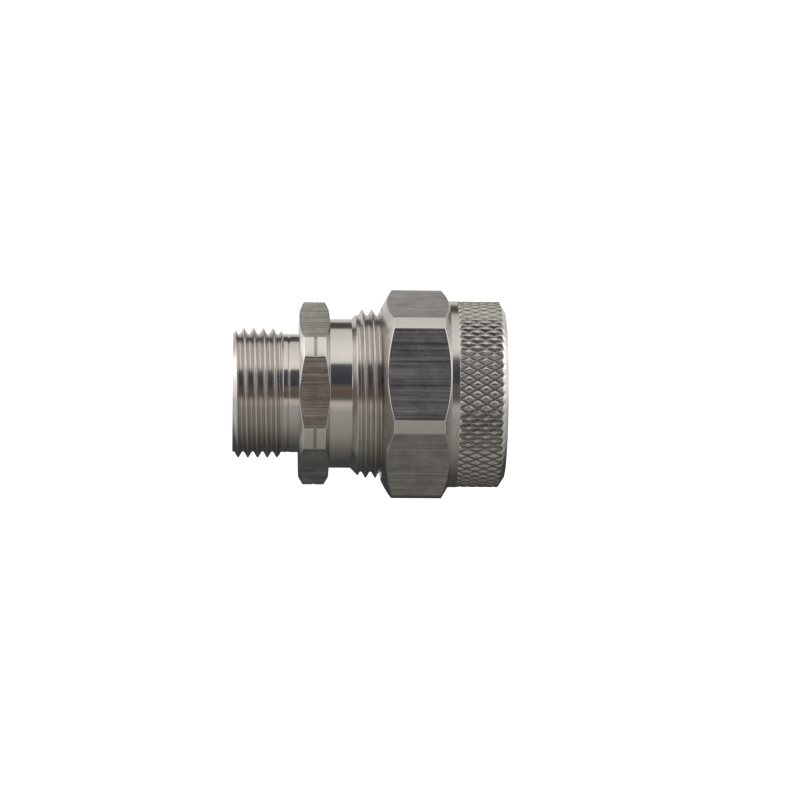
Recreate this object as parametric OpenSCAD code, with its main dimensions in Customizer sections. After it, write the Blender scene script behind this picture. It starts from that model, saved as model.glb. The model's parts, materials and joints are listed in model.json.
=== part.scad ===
// Compression cable gland: a turned metal body with a threaded hub, a rubber sealing
// bushing, a slip ring and a knurled compression nut.
// The gland's axis lies along +X: the hub points to -X and the cable enters from +X.
// x = 0 is the seating face of the body's hexagon, and two of its flats face +Z and -Z.

/* [Hub] */
// Major diameter of the hub thread
hub_d = 20; // [19.6:0.1:20.4]
// Length from the seating face to the hub's end
hub_len = 10.2; // [9.6:0.1:12]
// Length of the plain neck between the hub thread and the seating face
neck_len = 2.4; // [1.8:0.1:2.8]
// Bore through the hub, for the cable's cores
hub_bore_d = 15; // [13:0.1:15.4]

/* [Body hexagon] */
// Width across the flats of the body's hexagon
body_af = 26; // [25.5:0.1:27]
// Diameter of the round bar that the body is turned from
body_bar_d = 28.2; // [27.8:0.1:29]
// Thickness of the body's hexagon
body_hex_len = 4.6; // [4:0.1:5.4]

/* [Barrel] */
// Diameter of the plain barrel next to the hexagon
barrel_d = 23; // [22.6:0.1:23.4]
// Length of the plain barrel
barrel_len = 3.4; // [2.6:0.05:3.6]
// Major diameter of the compression thread
comp_d = 26; // [25.8:0.1:26.4]
// Distance from the seating face to the body's cable end
body_end = 20.3; // [19.6:0.1:20.5]
// Diameter of the chamber that holds the sealing bushing
chamber_d = 19.5; // [19:0.1:20]

/* [Compression nut] */
// Distance from the seating face to the nut's near end, as the nut stands
nut_start = 12.7; // [12.3:0.1:13]
// Overall length of the nut
nut_len = 19.04; // [18.8:0.02:19.6]
// Width across the flats of the nut's hexagon
nut_af = 29.2; // [28.9:0.1:29.6]
// Diameter of the round bar that the nut is turned from
nut_bar_d = 32.5; // [32:0.1:33]
// Angle that the nut's hexagon stands turned from the body's, in degrees
nut_turn_angle = 12; // [0:0.5:59]
// Diameter of the plain neck between the hexagon and the knurled collar
nut_neck_d = 28.8; // [28.6:0.1:28.9]
// Diameter over the knurled collar
collar_d = 28.7; // [28.3:0.1:28.8]
// Diameter of the nut's cable mouth
mouth_d = 16.5; // [15.5:0.1:17.5]

/* [Seal] */
// Bore of the sealing bushing
seal_bore_d = 12.5; // [10:0.1:13]
// Radial gap between the bushing and its chamber
seal_gap = 0.15; // [0.1:0.05:0.3]
// Travel that the nut has left before the bushing is on its seat
seal_travel = 3.1; // [3.1:0.1:3.4]
// Outer diameter of the slip ring
ring_d = 23.8; // [22:0.1:24]
// Thickness of the slip ring
ring_t = 1; // [0.8:0.1:1.2]
// Inner diameter of the slip ring
ring_bore_d = 14; // [13.5:0.1:15]

/* [Hidden] */
$fn = 96;
pitch = 1.5;                // of both threads
steps_per_turn = 36;        // flat steps that a thread's flank takes in one turn
thread_depth = 0.6133 * pitch;
crest_half = pitch / 16;    // half the width of the flat on a thread's crest
flank_slope = tan(30);      // a metric flank leans 30 degrees
root_sink = 0.2;            // how far a ridge is rooted in its core
crest_over = 0.1;           // how far a ridge rises past its crest before it is turned down
flank_gap = 0.09;           // axial gap between the nut's flanks and the body's
radial_gap = 0.12;          // radial gap between the two threads

hub_phase = 0.11;           // where the hub thread's crest crosses its angle zero, past x = 0
comp_phase = 0.285;        // the same for the compression thread
hub_root_r = hub_d / 2 - thread_depth;
neck_r = hub_root_r + 0.07;
comp_root_r = comp_d / 2 - thread_depth;
comp_start = body_hex_len + barrel_len;
comp_rise = (comp_d - barrel_d) / 2;
edge = 0.5;                 // small turned bevel
hub_bevel = 0.75;
hub_bevel_drop = 0.85;
comp_end_bevel = 1.2;

chamfer_slope = tan(30);    // the hexagons' ends are turned to 30 degrees
seat_slope = tan(30);
seat_x = 5.9;               // where the bushing's seat meets the hub's bore
seat_rise = (chamber_d - hub_bore_d) / 2 * seat_slope;

nut_end = nut_start + nut_len;
shoulder_x = nut_start + 12.14;
relief_x = shoulder_x - 1.8;
relief_r = comp_d / 2 + 0.25;
nut_minor_r = comp_root_r + radial_gap;
nut_major_r = comp_d / 2 + radial_gap;
nut_rim_r = comp_d / 2 + 0.4;
nut_face_rise = 0.64;       // length of the cone round the nut's near end
nut_face_r = 14.5;
nut_hex_end = nut_start + 10.38;
nut_shoulder_r = nut_neck_d / 2;
collar_x = nut_start + 11.65;
collar_bevel = 0.95;
collar_bevel_drop = 1.5;
mouth_flare = 1;

ring_gap = 0.05;            // end play between the slip ring and the nut's shoulder
ring_end = shoulder_x - ring_gap;
ring_start = ring_end - ring_t;
seal_r = chamber_d / 2 - seal_gap;
seal_start = seat_x + seal_travel;
seal_nose_r = hub_bore_d / 2 - 0.2;
seal_bevel = 0.4;

// Turns a shape drawn round +Z so that its axis lies along +X.
module along_axis() {
    rotate([0, 90, 0]) children();
}

// A turned solid from its outline, given as [radius, distance along the axis].
module turned(outline) {
    rotate_extrude() polygon(outline);
}

// Corners of a thread ridge, four to a step, along a right-hand helix round +Z.
function ridge_points(root_r, crest_r, root_half, top_half, start, turns) = [
    for (i = [0 : steps_per_turn * turns])
        let (a = 360 * i / steps_per_turn, z = start + pitch * i / steps_per_turn)
        for (p = [[root_r, -root_half], [crest_r, -top_half], [crest_r, top_half], [root_r, root_half]])
            [p[0] * cos(a), p[0] * sin(a), z + p[1]]
];

// Two triangles for each side of each step.
function ridge_sides(n) = [
    for (i = [0 : n - 1], k = [0 : 3], half = [0 : 1])
        let (a = 4 * i + k, b = 4 * i + (k + 1) % 4)
        half == 0 ? [b + 4, a + 4, a] : [b, b + 4, a]
];

// The two ends of a ridge of n steps.
function ridge_ends(n) = [[2, 1, 0], [3, 2, 0], [4 * n, 4 * n + 1, 4 * n + 2], [4 * n, 4 * n + 2, 4 * n + 3]];

// A thread ridge that rises to major_r plus over, with its flanks moved out by grow.
module ridge(major_r, start, turns, over = crest_over, grow = 0) {
    // A wider ridge is rooted less deep, so that neighbouring turns don't meet.
    depth = thread_depth + root_sink - grow / flank_slope;
    n = steps_per_turn * turns;
    polyhedron(
        points = ridge_points(
            major_r - depth,
            major_r + over,
            crest_half + grow + depth * flank_slope,
            crest_half + grow - over * flank_slope,
            start,
            turns
        ),
        faces = concat(ridge_sides(n), ridge_ends(n)),
        convexity = 10
    );
}

// A hexagonal bar with its corners left round, its flats square to X and its ends chamfered.
module hexagon(af, bar_d, x0, x1, end_r0, end_r1) {
    bar_r = bar_d / 2;
    drop0 = (bar_r - end_r0) * chamfer_slope;
    drop1 = (bar_r - end_r1) * chamfer_slope;
    intersection() {
        turned([[0, x0], [end_r0, x0], [bar_r, x0 + drop0], [bar_r, x1 - drop1], [end_r1, x1], [0, x1]]);
        translate([0, 0, x0 - 1])
            rotate([0, 0, 30])
                cylinder(d = af / cos(30), h = x1 - x0 + 2, $fn = 6);
    }
}

module hub_thread() {
    first = hub_phase - 8 * pitch;
    intersection() {
        ridge(hub_d / 2, first, 6.5);
        turned([
            [0, -hub_len],
            [hub_d / 2 - hub_bevel_drop, -hub_len],
            [hub_d / 2, -hub_len + hub_bevel],
            [hub_d / 2, -neck_len - hub_bevel_drop],
            [neck_r - 0.05, -neck_len + 0.1],
            [0, -neck_len + 0.1]
        ]);
    }
}

module comp_thread() {
    first = comp_phase + 5 * pitch;
    intersection() {
        ridge(comp_d / 2, first, 9);
        turned([
            [0, comp_start],
            [barrel_d / 2, comp_start],
            [comp_d / 2, comp_start + comp_rise],
            [comp_d / 2, body_end - comp_end_bevel],
            [comp_d / 2 - comp_end_bevel, body_end],
            [0, body_end]
        ]);
    }
}

// The body without its thread ridges and its hexagon.
module body_core() {
    // The core's cones lie a little inside the ones that the thread starts and ends on.
    inside = 0.05;
    core_rise = comp_root_r - barrel_d / 2 + inside;
    core_fall = comp_end_bevel - thread_depth + inside;
    turned([
        [hub_bore_d / 2 + edge, -hub_len],
        [hub_root_r, -hub_len],
        [hub_root_r, -neck_len],
        [neck_r, -neck_len],
        [neck_r, body_hex_len / 2],
        [barrel_d / 2, body_hex_len / 2],
        [barrel_d / 2, comp_start],
        [comp_root_r, comp_start + core_rise],
        [comp_root_r, body_end - core_fall],
        [comp_root_r - core_fall, body_end],
        [chamber_d / 2 + edge, body_end],
        [chamber_d / 2, body_end - edge],
        [chamber_d / 2, seat_x + seat_rise],
        [hub_bore_d / 2, seat_x],
        [hub_bore_d / 2, -hub_len + edge]
    ]);
}

module gland_body() {
    color("silver") along_axis() {
        body_core();
        hub_thread();
        comp_thread();
        difference() {
            hexagon(body_af, body_bar_d, 0, body_hex_len, body_af / 2 - 0.05, body_af / 2 - 0.05);
            translate([0, 0, -1]) cylinder(r = hub_bore_d / 2 + 1, h = body_hex_len + 2);
        }
    }
}

module sealing_bushing() {
    color("dimgray") along_axis() turned([
        [seal_bore_d / 2 + seal_bevel, seal_start],
        [seal_nose_r, seal_start],
        [seal_r, seal_start + (seal_r - seal_nose_r) * seat_slope],
        [seal_r, ring_start - seal_bevel],
        [seal_r - seal_bevel, ring_start],
        [seal_bore_d / 2 + seal_bevel, ring_start],
        [seal_bore_d / 2, ring_start - seal_bevel],
        [seal_bore_d / 2, seal_start + seal_bevel]
    ]);
}

module slip_ring() {
    ring_edge = 0.15;
    color("gold") along_axis() turned([
        [ring_bore_d / 2, ring_start],
        [ring_d / 2 - ring_edge, ring_start],
        [ring_d / 2, ring_start + ring_edge],
        [ring_d / 2, ring_end - ring_edge],
        [ring_d / 2 - ring_edge, ring_end],
        [ring_bore_d / 2, ring_end]
    ]);
}

// The space inside the nut but for its thread's groove: hole, relief and cable mouth.
module nut_hollow() {
    lead_r = nut_major_r + 0.15;
    lead = lead_r - nut_minor_r;
    turned([
        [0, nut_start - 1],
        [lead_r, nut_start - 1],
        [lead_r, nut_start],
        [nut_minor_r, nut_start + lead],
        [nut_minor_r, relief_x],
        [relief_r, relief_x],
        [relief_r, shoulder_x],
        [mouth_d / 2, shoulder_x],
        [mouth_d / 2, nut_end - mouth_flare],
        [mouth_d / 2 + mouth_flare, nut_end],
        [mouth_d / 2 + mouth_flare, nut_end + 1],
        [0, nut_end + 1]
    ]);
}

module compression_nut() {
    face_cone_x = nut_start + nut_face_rise;
    // A minus sign, because the local X axis becomes -Z once the part lies along +X.
    turn = -nut_turn_angle;
    color("silver") along_axis() difference() {
        union() {
            rotate([0, 0, turn])
                hexagon(nut_af, nut_bar_d, face_cone_x, nut_hex_end, nut_face_r, nut_shoulder_r);
            turned([
                [0, nut_start],
                [nut_rim_r, nut_start],
                [nut_face_r, face_cone_x],
                [nut_face_r, face_cone_x + 1],
                [0, face_cone_x + 1]
            ]);
            turned([
                [0, nut_hex_end - 1],
                [nut_shoulder_r, nut_hex_end - 1],
                [nut_shoulder_r, collar_x - 0.1],
                [collar_d / 2, collar_x],
                [collar_d / 2, nut_end - collar_bevel],
                [collar_d / 2 - collar_bevel_drop, nut_end],
                [0, nut_end]
            ]);
        }
        nut_hollow();
        ridge(nut_major_r, comp_phase + 7 * pitch, 8.5, 0, flank_gap);
    }
}

gland_body();
sealing_bushing();
slip_ring();
compression_nut();
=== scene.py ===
import json
import math

import bmesh
import bpy
import numpy as np
from mathutils import Matrix, Vector

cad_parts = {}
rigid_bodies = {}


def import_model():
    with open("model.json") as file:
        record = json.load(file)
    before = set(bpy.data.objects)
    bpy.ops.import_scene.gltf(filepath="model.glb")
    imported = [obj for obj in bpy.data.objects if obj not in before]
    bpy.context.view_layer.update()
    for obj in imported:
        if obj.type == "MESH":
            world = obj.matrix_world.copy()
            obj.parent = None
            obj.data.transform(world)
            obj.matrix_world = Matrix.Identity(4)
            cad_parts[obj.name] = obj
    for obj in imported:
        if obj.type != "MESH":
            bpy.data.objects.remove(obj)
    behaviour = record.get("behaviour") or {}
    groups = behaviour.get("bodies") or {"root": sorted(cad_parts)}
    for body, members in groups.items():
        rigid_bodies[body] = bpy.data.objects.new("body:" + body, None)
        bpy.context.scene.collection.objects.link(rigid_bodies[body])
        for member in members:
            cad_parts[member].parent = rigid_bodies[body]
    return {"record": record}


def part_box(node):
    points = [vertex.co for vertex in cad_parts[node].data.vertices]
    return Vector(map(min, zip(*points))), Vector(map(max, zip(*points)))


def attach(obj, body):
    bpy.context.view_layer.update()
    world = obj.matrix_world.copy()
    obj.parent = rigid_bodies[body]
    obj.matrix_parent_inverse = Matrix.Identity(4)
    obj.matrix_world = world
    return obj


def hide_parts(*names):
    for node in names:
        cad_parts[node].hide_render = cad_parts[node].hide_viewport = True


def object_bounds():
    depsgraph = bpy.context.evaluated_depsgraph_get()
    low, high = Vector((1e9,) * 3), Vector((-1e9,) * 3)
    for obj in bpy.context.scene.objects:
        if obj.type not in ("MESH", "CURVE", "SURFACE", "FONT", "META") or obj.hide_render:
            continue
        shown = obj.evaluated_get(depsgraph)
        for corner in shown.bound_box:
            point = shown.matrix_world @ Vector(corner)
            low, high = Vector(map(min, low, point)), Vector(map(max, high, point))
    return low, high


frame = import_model()
cad_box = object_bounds()

# ---------------------------------------------------------------- sizes, in millimetres
MM = 0.001
TAU = 2 * math.pi


def ends(node):
    """Where a node starts and ends along the gland's axis, in millimetres."""
    low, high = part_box(node)
    return low[0] / MM, high[0] / MM


def mount(name):
    """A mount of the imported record, by name."""
    return next(m for m in frame["record"]["mounts"] if m["name"] == name)


HUB_END, BODY_END = ends("gland_body")
NUT_START, NUT_END = ends("compression_nut")
SEAL_START, SEAL_END = ends("sealing_bushing")
RING_START, RING_END = ends("slip_ring")

PITCH = 1.5
DEPTH = 0.6133 * PITCH            # from a thread's crest to its root
CREST_HALF = PITCH / 16           # half the flat on a thread's crest
FLANK = 1 / math.tan(math.radians(30))
HUB_PHASE = 0.11                  # where the hub thread's crest crosses angle 0
COMP_PHASE = 0.285                # the same for the compression thread
BORE_EDGE = 0.5                   # the bevel at both ends of the body's bore

HUB_R = mount("hub_thread")["dims"]["r_mm"]
HUB_BORE_R = mount("hub_bore")["dims"]["r_mm"]
HUB_BEVEL = 0.75                  # length of the bevel on the hub's end
HUB_FACE_R = HUB_R - 0.85
HUB_RUN_OUT = 0.9                 # where the thread ends, before the neck
NECK_R = HUB_R - DEPTH + 0.07
NECK_START = -2.4
GROOVE_X = -1.6                   # a fine groove turned in the neck
GROOVE_HALF = 0.2
GROOVE_DEPTH = 0.1

BODY_AF = 26.0
BODY_BAR_R = 14.1
BODY_FACE_R = BODY_AF / 2 - 0.05
BODY_HEX_END = 4.6
LINE_DEPTH = 0.09                 # the line turned round the body's hexagon
BARREL_R = 11.5
BARREL_EDGE = 0.12
COMP_START = 8.0
COMP_R = 13.0
COMP_BEVEL = 1.2                  # the bevel on the body's cable end
CHAMBER_R = 9.75
SEAT_X = 5.9
CHAMBER_START = 7.2

NUT_AF = 29.2
NUT_BAR_R = 16.25
NUT_TURN = math.radians(-12)      # how far the nut's hexagon is turned from the body's
NUT_RIM_R = COMP_R + 0.4
NUT_LEAD_R = COMP_R + 0.27        # where the cone into the nut's thread starts
NUT_CLEAR = 0.12                  # radial gap between the two threads
NUT_FACE_R = NUT_AF / 2 - 0.1
NUT_FACE_X = NUT_START + 0.58
NUT_NECK_START = NUT_START + 10.38
NUT_NECK_R = 14.4
COLLAR_START = NUT_START + 11.65
COLLAR_R = 14.35
COLLAR_BEVEL = 0.95
COLLAR_END = NUT_END - COLLAR_BEVEL
RIM_R = COLLAR_R - 1.5
SHOULDER_X = NUT_START + 12.14
RELIEF_X = SHOULDER_X - 1.8
RELIEF_R = COMP_R + 0.25
MOUTH_R = mount("cable_mouth")["dims"]["r_mm"]
FLARE = 1.0

SEAL_R = CHAMBER_R - 0.15
SEAL_NOSE_R = HUB_BORE_R - 0.2
SEAL_BORE_R = mount("seal_bore")["dims"]["r_mm"]
SEAL_LEAD = 0.4                   # the bevel at both ends of the bushing's bore
SEAL_EDGE = 0.35
RING_R = 11.9
RING_BORE_R = 7.0
RING_EDGE = 0.15

KNURL_TEETH = 60
KNURL_ANGLE = math.radians(30)
KNURL_DEPTH = 0.32
KNURL_STEPS = 12                  # mesh steps across one tooth
KNURL_RIM = 2 / 3                 # how far up a diamond its rim stands
KNURL_DISH = 0.3                  # how deep its top is dished, as a share of the knurl's depth

CHAMFER = math.tan(math.radians(30))   # the hexagons' ends are turned to 30 degrees
EDGE = 0.07                       # the small radius left on turned edges
ROLL = 0.11                       # and on the ends of the hexagons' flats
FLAT_EDGE = 0.06                  # the small bevel on the long edges of the flats
FLAT_EDGE_DROP = 0.02
ROUND_STEPS = 240                 # mesh steps round the nut's bore


# ---------------------------------------------------------------- mesh building
# How strip() fills the space between two columns: with a quad, or with two triangles, split either way.
QUAD, RISING, FALLING = 1, 2, 3


class Row:
    """One ring of corners round the axis, with the angle of each."""

    def __init__(self, ids, angles):
        self.ids = ids
        self.angles = angles


class Skin:
    """A closed surface round the X axis, made of rows. Angle 0 is -Z and a quarter turn is +Y."""

    def __init__(self, materials):
        self.points = []
        self.faces = []
        self.kinds = []
        self.names = list(materials)
        self.materials = list(materials.values())

    def add(self, x, r, angles):
        x, r, a = np.broadcast_arrays(np.asarray(x, float), np.asarray(r, float), angles)
        first = len(self.points)
        self.points.extend(np.stack([x, r * np.sin(a), -r * np.cos(a)], axis=-1).tolist())
        return np.arange(first, len(self.points))

    def row(self, x, r, angles):
        return Row(self.add(x, r, angles), angles)

    def face(self, corners, kind):
        kept = []
        for c in corners:
            if c not in kept:
                kept.append(c)
        if len(kept) > 2:
            self.faces.append(kept)
            self.kinds.append(self.names.index(kind))

    def strip(self, one, two, kind, fill=QUAD):
        """Joins two rows of the same angles. kind and fill are one value, or one to a column."""
        n = len(one.ids)
        for i in range(n):
            j = (i + 1) % n
            k = kind if isinstance(kind, str) else kind[i]
            a, b, c, d = (int(v) for v in (one.ids[i], one.ids[j], two.ids[j], two.ids[i]))
            way = fill if np.isscalar(fill) else fill[i]
            if way == QUAD:
                self.face((a, b, c, d), k)
            elif way == RISING:
                self.face((a, b, c), k)
                self.face((a, c, d), k)
            else:
                self.face((a, b, d), k)
                self.face((b, c, d), k)
        return two

    def join(self, one, two, kind):
        """Joins two rows whose angles differ, with triangles."""
        a, b = np.asarray(one.angles), np.asarray(two.angles)
        first = int(np.argmin(np.abs(np.angle(np.exp(1j * (b - a[0]))))))
        order = np.roll(np.arange(len(b)), -first)
        start = a[0] + np.angle(np.exp(1j * (b[first] - a[0])))
        b_turn = start + np.mod(b[order] - b[first], TAU)
        a_turn = a[0] + np.mod(a - a[0], TAU)
        a_turn = np.append(a_turn, a_turn[0] + TAU)
        b_turn = np.append(b_turn, b_turn[0] + TAU)
        a_ids = np.append(one.ids, one.ids[0])
        b_ids = np.append(two.ids[order], two.ids[order[0]])
        i = j = 0
        while i < len(a) or j < len(b):
            if j >= len(b) or (i < len(a) and a_turn[i + 1] <= b_turn[j + 1]):
                self.face((int(a_ids[i]), int(a_ids[i + 1]), int(b_ids[j])), kind)
                i += 1
            else:
                self.face((int(a_ids[i]), int(b_ids[j + 1]), int(b_ids[j])), kind)
                j += 1
        return two

    def turn(self, row, outline, kind):
        """Carries a row along an outline of (x, r) points."""
        for x, r in outline:
            row = self.strip(row, self.row(x, r, row.angles), kind)
        return row

    def thread(self, row, x0, x1, end_r, phase, radius, kind):
        """A threaded stretch from the given row at x0 to a new row at x1, with lines along the helix."""
        angles = row.angles
        last = self.row(x1, end_r, angles)
        first_turn = math.floor((min(x0, x1) - phase) / PITCH) - 2
        turns = math.ceil(abs(x1 - x0) / PITCH) + 4
        lines = np.array([phase + PITCH * (first_turn + k + s) for k in range(turns) for s in THREAD_STEPS])
        step = len(THREAD_STEPS)
        low, high = (row, last) if x1 > x0 else (last, row)
        x_low, x_high = min(x0, x1), max(x0, x1)
        near = 0.012              # a point this close to an end becomes the end row's own
        n = len(angles)
        grid = np.empty((n, len(lines)), int)
        for i, a in enumerate(angles):
            x = lines + PITCH * a / TAU
            inside = (x > x_low + near) & (x < x_high - near)
            grid[i, x <= x_low + near] = low.ids[i]
            grid[i, x >= x_high - near] = high.ids[i]
            grid[i, inside] = self.add(x[inside], radius(x[inside], a), np.full(inside.sum(), a))
        wrapped = np.append(grid[0, step:], np.full(step, high.ids[0]))
        for i in range(n):
            one = grid[i]
            two = grid[i + 1] if i + 1 < n else wrapped
            for j in range(len(lines) - 1):
                self.face((int(one[j]), int(two[j]), int(two[j + 1]), int(one[j + 1])), kind)
        return last

    def close(self, last, first, kind):
        self.strip(last, first, kind)

    def build(self, name):
        """The finished object, in metres and shaded smooth."""
        mesh = bpy.data.meshes.new(name)
        points = (np.array(self.points) * MM).tolist()
        mesh.from_pydata(points, [], self.faces)
        for m in self.materials:
            mesh.materials.append(m)
        mesh.polygons.foreach_set("material_index", self.kinds)
        work = bmesh.new()
        work.from_mesh(mesh)
        bmesh.ops.delete(work, geom=[v for v in work.verts if not v.link_faces], context="VERTS")
        bmesh.ops.recalc_face_normals(work, faces=work.faces)
        if work.calc_volume(signed=True) < 0:
            bmesh.ops.reverse_faces(work, faces=work.faces)
        work.to_mesh(mesh)
        work.free()
        mesh.shade_smooth()
        mesh.normals_split_custom_set_from_vertices(weighted_normals(mesh))
        made = bpy.data.objects.new(name, mesh)
        bpy.context.scene.collection.objects.link(made)
        return made


def weighted_normals(mesh):
    """A normal for each corner point, weighted by face area, so flats stay flat beside small bevels."""
    faces, corners = mesh.polygons, mesh.loops
    normal, area = np.empty(3 * len(faces)), np.empty(len(faces))
    sides, point = np.empty(len(faces), int), np.empty(len(corners), int)
    faces.foreach_get("normal", normal)
    faces.foreach_get("area", area)
    faces.foreach_get("loop_total", sides)
    corners.foreach_get("vertex_index", point)
    total = np.zeros((len(mesh.vertices), 3))
    np.add.at(total, point, np.repeat(normal.reshape(-1, 3) * area[:, None], sides, axis=0))
    return (total / np.linalg.norm(total, axis=1, keepdims=True)).tolist()


# Where a thread's mesh lines lie across one pitch, from crest to crest.
THREAD_STEPS = (
    0, 0.045, 0.075, 0.11, 0.18, 0.26, 0.34, 0.39, 0.44,
    0.5, 0.56, 0.61, 0.66, 0.74, 0.82, 0.89, 0.925, 0.955,
)


def smooth_min(a, b, width):
    """The lower of two heights, with the corner between them rounded over width."""
    mix = np.clip(0.5 + 0.5 * (b - a) / width, 0, 1)
    return b * (1 - mix) + a * mix - width * mix * (1 - mix)


def thread_radius(x, angle, crest_r, phase):
    """The radius of a right-hand metric thread."""
    turns = (x - phase) / PITCH - angle / TAU
    off = np.abs(turns - np.round(turns)) * PITCH
    flank = crest_r - (off - CREST_HALF) * FLANK
    rounded = smooth_min(np.full_like(flank, crest_r), flank, 0.09)
    return -smooth_min(-rounded, np.full_like(flank, DEPTH - crest_r), 0.16)


def bevelled(outline, size):
    """An outline with each of its inner corners rounded in three points."""
    pts = [np.array(p, float) for p in outline]
    out = [pts[0]]
    most = 0.4                    # the part of a short side that a rounding may take
    for before, corner, after in zip(pts, pts[1:], pts[2:]):
        back, on = before - corner, after - corner
        cut = min(size, most * np.linalg.norm(back), most * np.linalg.norm(on))
        one = corner + back / np.linalg.norm(back) * cut
        two = corner + on / np.linalg.norm(on) * cut
        out += [one, (one + 2 * corner + two) / 4, two]
    return [tuple(p) for p in out + [pts[-1]]]


def round_angles(count):
    return np.arange(count) * TAU / count


def eased(reach, count):
    """Angles from -reach to reach that stand closer together near both ends."""
    return reach * np.sin(np.linspace(-math.pi / 2, math.pi / 2, count))


class Hexagon:
    """A hexagonal bar whose corners keep the round of the bar it was milled from."""

    def __init__(self, af, bar_r, turned, flat_steps, corner_steps):
        self.half = af / 2
        self.reach = math.acos(self.half / bar_r)
        self.bevel = FLAT_EDGE / bar_r
        sector = TAU / 6
        offsets = np.concatenate([
            [-self.reach],
            eased(self.reach - self.bevel, flat_steps),
            [self.reach],
            sector / 2 + eased(sector / 2 - self.reach - self.bevel, corner_steps),
        ])
        self.offsets = np.tile(offsets, 6)
        self.angles = (offsets + turned + sector * np.arange(6)[:, None]).ravel()
        on_flat = np.abs(self.offsets) < self.reach - self.bevel * 0.5
        on_edge = np.isclose(np.abs(self.offsets), self.reach)
        on_corner = ~on_flat & ~on_edge
        flat_r = self.half / np.cos(np.where(on_flat, self.offsets, 0))
        self.r = np.where(on_flat, flat_r, bar_r - np.where(on_edge, FLAT_EDGE_DROP, 0))
        both_flat = on_flat & np.roll(on_flat, -1)
        self.kinds = np.where(both_flat, "milled", "turned")
        self.inner = on_corner & np.roll(on_corner, 1) & np.roll(on_corner, -1)

    def draw(self, skin, row, x0, x1, r0, r1, lead_in, line_depth=0.0):
        """From the given row to a row at (x1, r1). The near chamfer starts at (x0, r0), and lead_in is
        how far before it, in x and r, the given row's angles end."""
        r, a = self.r, self.angles
        row = skin.strip(row, skin.row(x0 - lead_in[0], r0 - lead_in[1], row.angles), "turned")
        row = skin.join(row, skin.row(x0, r0, a), "turned")
        near = x0 + (r - r0) * CHAMFER
        far = x1 - (r - r1) * CHAMFER
        # Each end of a flat is rounded in three rows, the last of them on the flat itself.
        near_edge = np.minimum(ROLL, 0.5 * (r - r0))
        far_edge = np.minimum(ROLL, 0.5 * (r - r1))
        rows = [
            (near - near_edge * CHAMFER, r - near_edge, "turned"),
            (near + near_edge * 0.15, r - near_edge * 0.22, "turned"),
            (near + ROLL, r, "turned"),
        ]
        if line_depth:
            middle = (x0 + x1) / 2 + 0.05
            bottom, top = 0.12, 0.25      # half the line's width at its bottom and its top
            dip = np.where(self.inner, line_depth, 0)
            rows += [
                (middle - top, r, None),
                (middle - bottom, r - dip, "line"),
                (middle + bottom, r - dip, "line"),
                (middle + top, r, "line"),
            ]
        rows += [
            (far - ROLL, r, None),
            (far - far_edge * 0.15, r - far_edge * 0.22, "turned"),
            (far + far_edge * CHAMFER, r - far_edge, "turned"),
        ]
        for x, radius, kind in rows:
            if kind == "line":
                kind = np.where(self.kinds == "turned", "line", "milled")
            row = skin.strip(row, skin.row(x, radius, a), self.kinds if kind is None else kind)
        return skin.strip(row, skin.row(x1, r1, a), "turned")


# ---------------------------------------------------------------- materials
def node_material(name):
    """A new material with an empty node tree."""
    made = bpy.data.materials.new(name)
    made.use_nodes = True
    tree = made.node_tree
    tree.nodes.clear()
    return made, tree


def add_node(tree, kind, inputs=None, **props):
    """A new node with its properties, and with its inputs linked to a socket or set to a value."""
    node = tree.nodes.new(kind)
    for key, value in props.items():
        setattr(node, key, value)
    for key, value in (inputs or {}).items():
        if isinstance(value, bpy.types.NodeSocket):
            tree.links.new(value, node.inputs[key])
        else:
            node.inputs[key].default_value = value
    return node


def maths(tree, operation, a, b=0.0):
    return add_node(tree, "ShaderNodeMath", {0: a, 1: b}, operation=operation).outputs[0]


def millimetres(tree):
    """The surface's own x, y and z and its distance from the axis, in millimetres."""
    place = add_node(tree, "ShaderNodeTexCoord").outputs["Object"]
    inputs = {0: place, "Scale": 1 / MM}
    scaled = add_node(tree, "ShaderNodeVectorMath", inputs, operation="SCALE").outputs[0]
    x, y, z = add_node(tree, "ShaderNodeSeparateXYZ", {0: scaled}).outputs
    squares = maths(tree, "ADD", maths(tree, "POWER", y, 2.0), maths(tree, "POWER", z, 2.0))
    return x, y, z, maths(tree, "SQRT", squares)


def combine(tree, x, y, z):
    return add_node(tree, "ShaderNodeCombineXYZ", {0: x, 1: y, 2: z}).outputs[0]


def grey_colour(tree, value):
    return add_node(tree, "ShaderNodeCombineColor", {0: value, 1: value, 2: value}).outputs[0]


def noise(tree, vector, scale, detail=2.0, rough=0.5):
    inputs = {"Vector": vector, "Scale": scale, "Detail": detail, "Roughness": rough}
    return add_node(tree, "ShaderNodeTexNoise", inputs).outputs["Fac"]


def map_range(tree, value, start, end, low, high, how="LINEAR"):
    """Goes from low to high as the value goes from start to end."""
    inputs = {"Value": value, "From Min": start, "From Max": end, "To Min": low, "To Max": high}
    return add_node(tree, "ShaderNodeMapRange", inputs, interpolation_type=how).outputs["Result"]


def spread(tree, value, low, high):
    """Turns a noise value into a number between low and high."""
    return map_range(tree, value, 0.3, 0.7, low, high)


def soft_step(tree, value, start, end, low, high):
    return map_range(tree, value, start, end, low, high, "SMOOTHSTEP")


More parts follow.
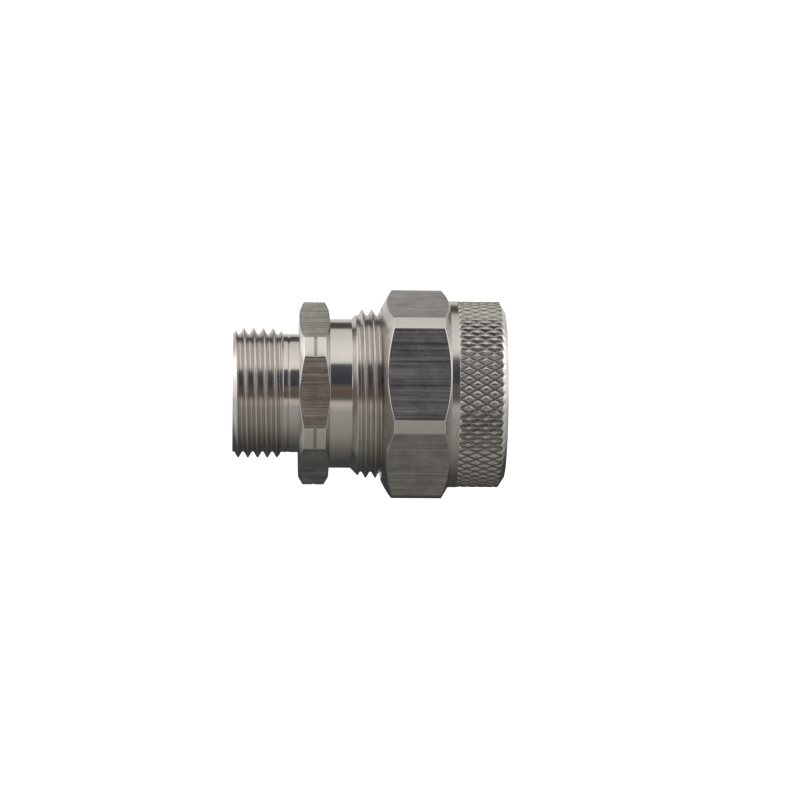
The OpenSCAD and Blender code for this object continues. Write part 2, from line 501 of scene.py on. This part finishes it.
def metal(
    name, colour, roughness, lines, line_depth,
    anisotropic=0.0, rough_spread=0.05, tint_spread=0.06, valley_shade=None,
):
    """Bare metal with tool marks line_depth mm deep. lines turns the place in millimetres into the
    coordinate that the marks follow. The last argument, if given, paints shade into the colour by
    radius: the radius where the painted shade is darkest, the one where it ends, and how dark it gets."""
    made, tree = node_material(name)
    x, y, z, r = millimetres(tree)
    along = lines(tree, x, y, z, r)
    fine = noise(tree, along, 1.0, 3.0, 0.6)
    cloud = noise(tree, combine(tree, x, y, z), 0.35, 3.0, 0.6)
    specks = noise(tree, combine(tree, x, y, z), 5.0, 2.0, 0.7)
    dark = [c * (1 - tint_spread) for c in colour]
    light = [min(1.0, c * (1 + tint_spread)) for c in colour]
    tone = maths(tree, "ADD", maths(tree, "MULTIPLY", fine, 0.6), maths(tree, "MULTIPLY", cloud, 0.4))
    tint = add_node(tree, "ShaderNodeMix", {"Factor": spread(tree, tone, 0, 1)}, data_type="RGBA")
    tint.inputs[6].default_value = (*dark, 1)
    tint.inputs[7].default_value = (*light, 1)
    shade = tint.outputs[2]
    # Painted shade: the colour is darkened by radius, most at the deep radius and not at all at the outer
    # one.
    if valley_shade:
        deep, unshaded_r, darkness = valley_shade
        painted_valley_shade = grey_colour(tree, soft_step(tree, r, deep, unshaded_r, darkness, 1))
        inputs = {"Factor": 1.0, 6: shade, 7: painted_valley_shade}
        shade = add_node(tree, "ShaderNodeMix", inputs, data_type="RGBA", blend_type="MULTIPLY").outputs[2]
    rough = maths(
        tree, "ADD", spread(tree, fine, roughness - rough_spread, roughness + rough_spread),
        spread(tree, specks, 0, rough_spread),
    )
    bump = add_node(tree, "ShaderNodeBump", {"Height": fine, "Distance": line_depth * MM, "Strength": 1.0})
    bsdf = add_node(tree, "ShaderNodeBsdfPrincipled", {
        "Base Color": shade,
        "Metallic": 1.0,
        "Roughness": rough,
        "Normal": bump.outputs[0],
    })
    if anisotropic:
        bsdf.inputs["Anisotropic"].default_value = anisotropic
        bsdf.inputs["Anisotropic Rotation"].default_value = 0.25
        tangent = add_node(tree, "ShaderNodeTangent", direction_type="RADIAL", axis="X")
        tree.links.new(tangent.outputs[0], bsdf.inputs["Tangent"])
    out = add_node(tree, "ShaderNodeOutputMaterial")
    tree.links.new(bsdf.outputs[0], out.inputs[0])
    return made


def stretched(tree, *parts):
    """A coordinate from three (value, marks per millimetre) pairs."""
    return combine(tree, *(maths(tree, "MULTIPLY", value, marks) for value, marks in parts))


def turned_lines(tree, x, y, z, r):
    """Marks that run round the axis."""
    return stretched(tree, (x, 4.0), (r, 4.0), (y, 0.03))


def milled_lines(tree, x, y, z, r):
    """Marks that run along the axis."""
    return stretched(tree, (x, 0.05), (y, 3.8), (z, 3.8))


def rubber(name):
    """Black moulded rubber with a fine grain."""
    made, tree = node_material(name)
    x, y, z, _ = millimetres(tree)
    grain = noise(tree, combine(tree, x, y, z), 6.0, 4.0, 0.6)
    bump = add_node(tree, "ShaderNodeBump", {"Height": grain, "Distance": 0.02 * MM, "Strength": 0.7})
    tone = add_node(tree, "ShaderNodeMix", {"Factor": grain}, data_type="RGBA")
    tone.inputs[6].default_value = (0.012, 0.012, 0.013, 1)
    tone.inputs[7].default_value = (0.035, 0.035, 0.036, 1)
    bsdf = add_node(tree, "ShaderNodeBsdfPrincipled", {
        "Base Color": tone.outputs[2],
        "Roughness": spread(tree, grain, 0.5, 0.68),
        "Normal": bump.outputs[0],
    })
    out = add_node(tree, "ShaderNodeOutputMaterial")
    tree.links.new(bsdf.outputs[0], out.inputs[0])
    return made


NICKEL = (0.63, 0.602, 0.572)
BRASS = (0.72, 0.50, 0.20)


def nickel(share):
    """The nickel's colour, dimmed to a share of its own."""
    return [c * share for c in NICKEL]


turned = metal("turned_nickel", NICKEL, 0.13, turned_lines, 0.004, anisotropic=0.6, rough_spread=0.03)
handled = metal("handled_nickel", nickel(0.9), 0.2, turned_lines, 0.005, anisotropic=0.6, rough_spread=0.04)
# A darker, rougher nickel, 0.6 of the plain colour, for the line turned round the body's hexagon.
darkened_line = metal("grimy_nickel", nickel(0.6), 0.3, turned_lines, 0.006)
milled = metal("milled_nickel", nickel(0.88), 0.28, milled_lines, 0.015, rough_spread=0.08, tint_spread=0.5)
cut = metal("thread_nickel", NICKEL, 0.21, turned_lines, 0.006, anisotropic=0.2, rough_spread=0.03)
# The knurl's colour carries painted shade: half as bright at the bottom of the valleys, full at the
# diamonds' tops.
rolled = metal(
    "knurled_nickel", nickel(0.9), 0.17, milled_lines, 0.004, tint_spread=0.15,
    valley_shade=(COLLAR_R - KNURL_DEPTH, COLLAR_R, 0.5),
)
yellow = metal("plain_brass", BRASS, 0.28, turned_lines, 0.006)
black = rubber("black_rubber")


# ---------------------------------------------------------------- the pieces
def gland_body():
    """The turned body: hub thread, neck, hexagon, barrel and compression thread, with bore and chamber."""
    skin = Skin({"turned": turned, "milled": milled, "cut": cut, "line": darkened_line})
    hexagon = Hexagon(BODY_AF, BODY_BAR_R, 0.0, 31, 13)
    first = skin.row(HUB_END + BORE_EDGE, HUB_BORE_R, hexagon.angles)
    row = skin.turn(first, bevelled([
        (HUB_END + BORE_EDGE, HUB_BORE_R),
        (HUB_END, HUB_BORE_R + BORE_EDGE),
        (HUB_END, HUB_FACE_R),
    ], EDGE)[1:], "turned")
    hub = limited(HUB_R, HUB_PHASE, (
        (HUB_END, HUB_FACE_R), (HUB_END + HUB_BEVEL, HUB_R),
        (NECK_START - HUB_RUN_OUT, HUB_R), (NECK_START, NECK_R),
    ))
    row = skin.thread(row, HUB_END, NECK_START, NECK_R, HUB_PHASE, hub, "cut")
    row = skin.turn(row, bevelled([
        (NECK_START, NECK_R),
        (GROOVE_X - GROOVE_HALF, NECK_R),
        (GROOVE_X, NECK_R - GROOVE_DEPTH),
        (GROOVE_X + GROOVE_HALF, NECK_R),
        (0, NECK_R),
        (0, BODY_FACE_R),
    ], EDGE)[1:-1], "turned")
    row = hexagon.draw(skin, row, 0, BODY_HEX_END, BODY_FACE_R, BODY_FACE_R, (0, 0.04), LINE_DEPTH)
    row = skin.turn(row, bevelled([
        (BODY_HEX_END, BODY_FACE_R),
        (BODY_HEX_END, BARREL_R),
        (COMP_START - BARREL_EDGE, BARREL_R),
        (COMP_START, BARREL_R),
    ], BARREL_EDGE)[1:], "turned")
    comp = limited(COMP_R, COMP_PHASE, (
        (COMP_START, BARREL_R), (COMP_START + COMP_R - BARREL_R, COMP_R),
        (BODY_END - COMP_BEVEL, COMP_R), (BODY_END, COMP_R - COMP_BEVEL),
    ))
    row = skin.thread(row, COMP_START, BODY_END, COMP_R - COMP_BEVEL, COMP_PHASE, comp, "cut")
    row = skin.turn(row, bevelled([
        (BODY_END, COMP_R - COMP_BEVEL),
        (BODY_END, CHAMBER_R + BORE_EDGE),
        (BODY_END - BORE_EDGE, CHAMBER_R),
        (CHAMBER_START, CHAMBER_R),
        (SEAT_X, HUB_BORE_R),
        (HUB_END + BORE_EDGE, HUB_BORE_R),
    ], EDGE)[1:-1], "turned")
    skin.close(row, first, "turned")
    return skin.build("gland_body_skin")


def limited(crest_r, phase, limit):
    """A thread's radius, held under a turned outline of (x, r) points."""
    xs, rs = zip(*limit)
    return lambda x, angle: np.minimum(thread_radius(x, angle, crest_r, phase), np.interp(x, xs, rs))


def inner_thread(x, angle):
    """The nut's thread: the body's own, moved out by the clearance and opened by a lead-in cone."""
    lead = NUT_LEAD_R - (x - NUT_START)
    return np.maximum(thread_radius(x, angle, COMP_R, COMP_PHASE) + NUT_CLEAR, lead)


def knurl_radius(x, angle, length):
    """The diamond knurl: two sets of crossing grooves, and diamonds whose tops are dished inside a rim."""
    across = angle * KNURL_TEETH / TAU
    along = (x - COLLAR_START) / length
    one = across + along
    two = across - along
    height_one = 1 - 2 * np.abs(one - np.round(one))
    height_two = 1 - 2 * np.abs(two - np.round(two))
    height = np.minimum(height_one, height_two)
    dish = np.maximum(height - KNURL_RIM, 0) / (1 - KNURL_RIM)
    return COLLAR_R - KNURL_DEPTH * (1 - np.minimum(height / KNURL_RIM, 1) + KNURL_DISH * dish)


def bevel_cone(x):
    """The bevel turned on the end of the collar."""
    return COLLAR_R - (x - COLLAR_END) * (COLLAR_R - RIM_R) / COLLAR_BEVEL


def knurl(skin, row):
    """The knurled band, from a row on the nut's neck to one on the collar's end bevel."""
    count = KNURL_TEETH * KNURL_STEPS
    a = round_angles(count)
    length = TAU * COLLAR_R / KNURL_TEETH / math.tan(KNURL_ANGLE)
    step = length / KNURL_STEPS
    steps = int((COLLAR_END - COLLAR_START) / step)
    row = skin.join(row, skin.row(COLLAR_START - 0.03, COLLAR_R + 0.02, a), "turned")
    row = skin.strip(row, skin.row(COLLAR_START, knurl_radius(COLLAR_START, a, length), a), "rolled")
    columns = np.arange(count)
    for k in range(1, steps + 1):
        x = COLLAR_START + k * step
        # The diagonal follows the nearer groove, so that each groove is one clean line.
        falling = (columns + k) % KNURL_STEPS
        rising = (columns - k) % KNURL_STEPS
        half = KNURL_STEPS / 2
        fill = np.where(np.abs(falling - half + 0.5) < np.abs(rising - half + 0.5), FALLING, RISING)
        row = skin.strip(row, skin.row(x, knurl_radius(x, a, length), a), "rolled", fill)
    # The band ends where its own surface meets the bevel, so the edge is scalloped.
    slope = COLLAR_BEVEL / (COLLAR_R - RIM_R)
    x = np.full(count, COLLAR_END + 0.1)
    for _ in range(4):
        r = knurl_radius(x, a, length)
        x = COLLAR_END + (COLLAR_R - r) * slope
    return skin.strip(row, skin.row(x, r, a), "rolled")


def compression_nut():
    """The nut: hexagon, neck, knurled collar and bevel outside; mouth, shoulder and thread inside."""
    skin = Skin({"turned": handled, "milled": milled, "cut": cut, "rolled": rolled, "rim": turned})
    hexagon = Hexagon(NUT_AF, NUT_BAR_R, NUT_TURN, 31, 11)
    inner = round_angles(ROUND_STEPS)
    first = skin.row(NUT_START, NUT_LEAD_R, inner)
    row = skin.row(NUT_START, NUT_RIM_R - 0.03, inner)
    skin.strip(first, row, "turned")
    row = skin.turn(row, [(NUT_START + 0.03, NUT_RIM_R + 0.02)], "turned")
    row = hexagon.draw(skin, row, NUT_FACE_X, NUT_NECK_START, NUT_FACE_R, NUT_NECK_R, (0.02, 0.04))
    row = skin.turn(row, [(NUT_NECK_START + 0.05, NUT_NECK_R), (COLLAR_START - 0.08, NUT_NECK_R)], "turned")
    row = knurl(skin, row)
    bevel_x = NUT_END - 0.35      # past the scalloped edge of the knurl
    row = skin.join(row, skin.row(bevel_x, bevel_cone(bevel_x), inner), "rim")
    row = skin.turn(row, bevelled([
        (bevel_x, bevel_cone(bevel_x)),
        (NUT_END, RIM_R),
        (NUT_END, MOUTH_R + FLARE),
        (NUT_END - FLARE, MOUTH_R),
        (SHOULDER_X, MOUTH_R),
        (SHOULDER_X, RELIEF_R),
        (RELIEF_X, RELIEF_R),
        (RELIEF_X, COMP_R - DEPTH + NUT_CLEAR),
    ], EDGE)[1:], "rim")
    last = skin.thread(row, RELIEF_X, NUT_START + 0.001, NUT_LEAD_R - 0.01, COMP_PHASE, inner_thread, "cut")
    skin.close(last, first, "turned")
    return skin.build("compression_nut_skin")


def lathe(name, outline, size, material, count=160):
    """A plain ring turned from its closed outline."""
    skin = Skin({"all": material})
    a = round_angles(count)
    points = bevelled(outline + [outline[0], outline[1]], size)[1:-1]
    rows = [skin.row(x, r, a) for x, r in points]
    for one, two in zip(rows, rows[1:] + rows[:1]):
        skin.strip(one, two, "all")
    return skin.build(name)


def sealing_bushing():
    """The rubber bushing, with a cone that meets the body's seat."""
    return lathe("sealing_bushing_skin", [
        (SEAL_START, SEAL_BORE_R + SEAL_LEAD),
        (SEAL_START, SEAL_NOSE_R),
        (SEAL_START + (SEAL_R - SEAL_NOSE_R) * CHAMFER, SEAL_R),
        (SEAL_END, SEAL_R),
        (SEAL_END, SEAL_BORE_R + SEAL_LEAD),
        (SEAL_END - SEAL_LEAD, SEAL_BORE_R),
        (SEAL_START + SEAL_LEAD, SEAL_BORE_R),
    ], SEAL_EDGE, black)


def slip_ring():
    """The flat brass ring between the bushing and the nut's shoulder."""
    return lathe("slip_ring_skin", [
        (RING_START, RING_BORE_R), (RING_START, RING_R), (RING_END, RING_R), (RING_END, RING_BORE_R),
    ], RING_EDGE, yellow)


def fit(piece, node, body):
    """Puts a piece on its body in place of its CAD node."""
    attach(piece, body)
    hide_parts(node)


fit(gland_body(), "gland_body", "body")
fit(compression_nut(), "compression_nut", "nut")
fit(sealing_bushing(), "sealing_bushing", "seal_stack")
fit(slip_ring(), "slip_ring", "seal_stack")


# ---------------------------------------------------------------- floor, studio and camera
def floor():
    """A pale table top under the gland, which shows to the camera and takes a faint shadow."""
    z = cad_box[0].z
    half = 2.0
    mesh = bpy.data.meshes.new("table_top")
    corners = [(-half, -half, z), (half, -half, z), (half, half, z), (-half, half, z)]
    mesh.from_pydata(corners, [], [(0, 1, 2, 3)])
    made = bpy.data.objects.new("table_top", mesh)
    bpy.context.scene.collection.objects.link(made)
    material, tree = node_material("pale_table")
    diffuse = add_node(tree, "ShaderNodeBsdfDiffuse", {"Color": (0.8, 0.8, 0.8, 1)})
    glow = add_node(tree, "ShaderNodeEmission", {"Color": (1, 1, 1, 1), "Strength": 0.97})
    both = add_node(tree, "ShaderNodeAddShader", {0: diffuse.outputs[0], 1: glow.outputs[0]})
    out = add_node(tree, "ShaderNodeOutputMaterial")
    tree.links.new(both.outputs[0], out.inputs[0])
    mesh.materials.append(material)
    made.visible_glossy = False
    made.visible_diffuse = False


# How bright it is beyond the gland's ends: on the -Y side, near the middle, and what the +Y side adds.
END_LIGHT = (0.64, 1.15, 0.85)
# The studio as the gland sees it, by the angle from straight up towards +Y, in degrees:
# a long soft box on the +Y side, a dark ceiling, a narrow warm gap and a weak fill on the -Y side.
STUDIO = (
    (-180, (0.05, 0.05, 0.055)),
    (-126, (0.075, 0.075, 0.077)),
    (-108, (0.13, 0.127, 0.12)),
    (-94, (0.185, 0.18, 0.165)),
    (-69, (0.31, 0.305, 0.285)),
    (-50, (0.385, 0.375, 0.355)),
    (-27, (0.44, 0.43, 0.41)),
    (-18, (0.66, 0.63, 0.58)),
    (-13, (0.60, 0.57, 0.53)),
    (-9, (0.14, 0.12, 0.11)),
    (2, (0.14, 0.105, 0.095)),
    (6, (0.20, 0.145, 0.12)),
    (12, (0.14, 0.12, 0.115)),
    (15, (0.05, 0.055, 0.07)),
    (40, (0.085, 0.09, 0.11)),
    (45, (0.12, 0.12, 0.14)),
    (49, (0.92, 0.92, 0.90)),
    (58, (1.08, 1.06, 1.02)),
    (104, (0.86, 0.85, 0.82)),
    (117, (0.76, 0.75, 0.72)),
    (122, (0.10, 0.09, 0.08)),
    (141, (0.10, 0.09, 0.08)),
    (146, (0.70, 0.69, 0.67)),
    (180, (0.78, 0.77, 0.75)),
)


def studio():
    """The light: a world that is brighter or darker by direction, and plain white to the camera."""
    world = bpy.data.worlds.new("studio")
    bpy.context.scene.world = world
    world.use_nodes = True
    tree = world.node_tree
    tree.nodes.clear()
    way = add_node(tree, "ShaderNodeTexCoord").outputs["Generated"]
    parts = add_node(tree, "ShaderNodeSeparateXYZ", {0: way}).outputs
    angle = maths(tree, "ARCTAN2", parts[1], parts[2])
    share = map_range(tree, angle, -math.pi, math.pi, 0, 1)
    ramp = add_node(tree, "ShaderNodeValToRGB", {"Fac": share})
    stops = ramp.color_ramp.elements
    stops.remove(stops[-1])
    for k, (degrees, colour) in enumerate(STUDIO):
        stop = stops[0] if k == 0 else stops.new((degrees + 180) / 360)
        stop.color = (*colour, 1)
    # The end light takes over where a direction turns towards the gland's axis.
    endwise = soft_step(tree, maths(tree, "ABSOLUTE", parts[0]), 0.55, 0.95, 0, 1)
    low, middle, more = END_LIGHT
    first_rise = soft_step(tree, parts[1], -0.14, 0.06, low, middle)
    second_rise = soft_step(tree, parts[1], 0.16, 0.25, 0, more)
    end_light = grey_colour(tree, maths(tree, "ADD", first_rise, second_rise))
    inputs = {"Factor": endwise, 6: ramp.outputs[0], 7: end_light}
    mix = add_node(tree, "ShaderNodeMix", inputs, data_type="RGBA")
    lit = add_node(tree, "ShaderNodeBackground", {"Color": mix.outputs[2], "Strength": 1.0})
    plain = add_node(tree, "ShaderNodeBackground", {"Color": (1, 1, 1, 1), "Strength": 1.0})
    seen = add_node(tree, "ShaderNodeLightPath").outputs["Is Camera Ray"]
    both = add_node(tree, "ShaderNodeMixShader", {0: seen, 1: lit.outputs[0], 2: plain.outputs[0]})
    out = add_node(tree, "ShaderNodeOutputWorld")
    tree.links.new(both.outputs[0], out.inputs[0])


def camera():
    """Straight down on the gland, with +Y up in the picture, from above the hub's end."""
    width = 123.65 * MM
    distance = 0.70
    roll = math.radians(0.43)
    target = Vector((15.67, -0.95, 0)) * MM
    place = Vector((HUB_END * MM, 0.0, distance))
    data = bpy.data.cameras.new("camera")
    data.sensor_width = 36
    data.lens = data.sensor_width * (place - target).length / width
    data.clip_start, data.clip_end = 0.01, 10
    made = bpy.data.objects.new("camera", data)
    bpy.context.scene.collection.objects.link(made)
    made.location = place
    back = (place - target).normalized()
    up = Vector((-math.sin(roll), math.cos(roll), 0))
    right = up.cross(back).normalized()
    up = back.cross(right)
    made.rotation_mode = "QUATERNION"
    made.rotation_quaternion = Matrix((right, up, back)).transposed().to_quaternion()
    bpy.context.scene.camera = made


floor()
studio()
camera()
bpy.context.scene.view_settings.view_transform = "Standard"
